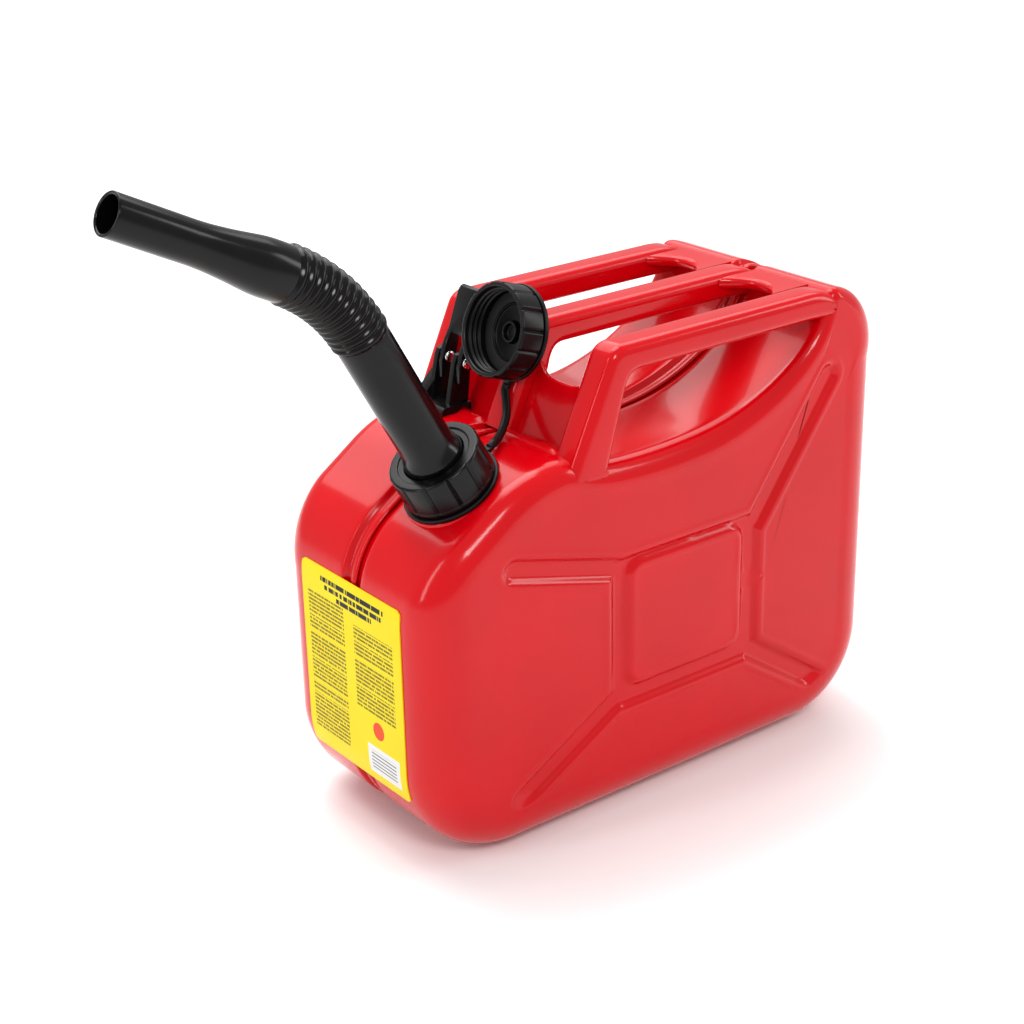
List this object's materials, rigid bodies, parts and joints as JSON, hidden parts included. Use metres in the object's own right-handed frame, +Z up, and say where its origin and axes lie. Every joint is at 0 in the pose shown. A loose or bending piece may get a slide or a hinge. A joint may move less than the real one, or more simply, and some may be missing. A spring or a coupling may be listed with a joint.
{
  "type": "safety gas can",
  "caption": "Pressed-steel jerry-style fuel can with carrying bars, side ribs, a screw-on bendable pouring spout and a tethered cap",
  "frame": {"origin": "on the floor plane under the middle of the whole part's bounding box, spout included", "axes": "X along the can with the spout towards -X, Y across its thickness, Z up; the can stands on Z = 0"},
  "size_m": [0.4882, 0.154, 0.4107],
  "materials": {
    "can_paint": "glossy red enamel over pressed sheet steel",
    "handle_paint": "the same glossy red enamel",
    "neck_paint": "red enamel",
    "label_print": null,
    "bare_steel": "plain steel tube",
    "screen_steel": "perforated steel",
    "pin_steel": "bright steel",
    "latch_black": "black lacquered steel",
    "seal_rubber": "black fuel-resistant rubber",
    "collar_plastic": "black moulded plastic, slight gloss",
    "spout_plastic": "black moulded plastic, glossy",
    "cap_plastic": "black moulded plastic, slight gloss",
    "tether_plastic": "black flexible plastic"
  },
  "bodies": {
    "can": {"shell_near": "can_paint", "shell_far": "can_paint", "seam_weld": "can_paint", "handle_bar_near": "handle_paint", "handle_bar_middle": "handle_paint", "handle_bar_far": "handle_paint", "handle_web_near": "handle_paint", "handle_web_far": "handle_paint", "handle_bridge_near": "handle_paint", "handle_bridge_far": "handle_paint", "label": "label_print", "filler_neck": "neck_paint", "breather_tube": "bare_steel", "tether_ring": "tether_plastic", "latch_bracket": "latch_black", "latch_pin_near": "pin_steel", "latch_pin_far": "pin_steel"},
    "seat": {"spout_gasket": "seal_rubber"},
    "collar": {"collar_nut": "collar_plastic"},
    "spout": {"spout_tube": "spout_plastic", "strainer_screen": "screen_steel"},
    "nozzle": {"spout_bellows": "spout_plastic", "spout_nozzle": "spout_plastic"},
    "cap_holder": {"cap_loop": "tether_plastic", "cap_strap": "tether_plastic"},
    "cap": {"cap_shell": "cap_plastic", "cap_gasket": "seal_rubber"},
    "latch": {"latch_arm": "latch_black"}
  },
  "joints": [
    {"name": "spout_lift", "type": "slide", "parent": "can", "child": "seat", "axis": [-0.4848, 0, 0.8746], "range_m": [0, 0.0135]},
    {"name": "collar_turn", "type": "hinge", "parent": "seat", "child": "collar", "pos_m": [-0.05042, -0.031, 0.2152], "axis": [-0.4848, 0, 0.8746], "range_deg": [0, 1618]},
    {"name": "spout_swivel", "type": "hinge", "parent": "seat", "child": "spout", "pos_m": [-0.05042, -0.031, 0.2152], "axis": [-0.4848, 0, 0.8746], "continuous": true},
    {"name": "spout_bend", "type": "hinge", "parent": "spout", "child": "nozzle", "pos_m": [-0.12338, -0.031, 0.33744], "axis": [0, 1, 0], "range_deg": [-40, 34], "deforming": ["spout_bellows"]},
    {"name": "tether_flex", "type": "hinge", "parent": "can", "child": "cap_holder", "pos_m": [-0.02042, -0.03, 0.2334], "axis": [0, 1, 0], "range_deg": [-30, 0], "deforming": ["cap_strap"]},
    {"name": "cap_turn", "type": "hinge", "parent": "cap_holder", "child": "cap", "pos_m": [0.00228, 0, 0.287], "axis": [-0.9511, 0, 0.309], "continuous": true},
    {"name": "latch_swing", "type": "hinge", "parent": "can", "child": "latch", "pos_m": [0.00618, 0.04, 0.2586], "axis": [0, 1, 0], "range_deg": [-100, 0]}
  ],
  "couplings": [
    {"joint": "spout_lift", "follows": "collar_turn", "m_per_rad": 0.00047746}
  ]
}
